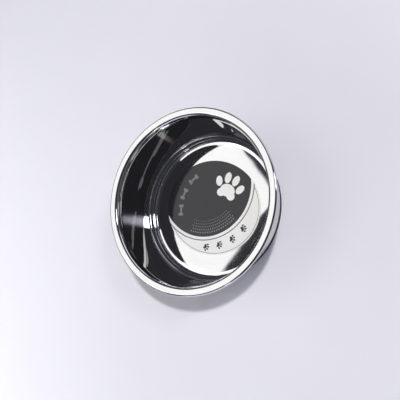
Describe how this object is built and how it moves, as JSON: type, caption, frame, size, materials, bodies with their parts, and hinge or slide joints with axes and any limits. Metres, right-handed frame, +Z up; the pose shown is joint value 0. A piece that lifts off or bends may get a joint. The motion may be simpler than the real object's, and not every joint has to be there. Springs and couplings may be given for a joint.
{
  "type": "pet bowl",
  "caption": "Round stainless steel pet bowl with a rolled rim, a tapered wall and a stepped foot in a rubber ring, with a printed label on its floor.",
  "frame": {"origin": "on the bowl's axis, on the surface that it stands on", "axes": "+Z up along the bowl's axis, +Y the way the label is shifted off the centre"},
  "size_m": [0.21, 0.21, 0.0678],
  "materials": {
    "polished_steel": "mirror polished, deep drawn",
    "black_rubber": "matt moulded",
    "printed_label": "printed and varnished"
  },
  "bodies": {
    "root": {"bowl_shell": "polished_steel", "base_ring": "black_rubber", "floor_label": "printed_label"}
  },
  "joints": []
}
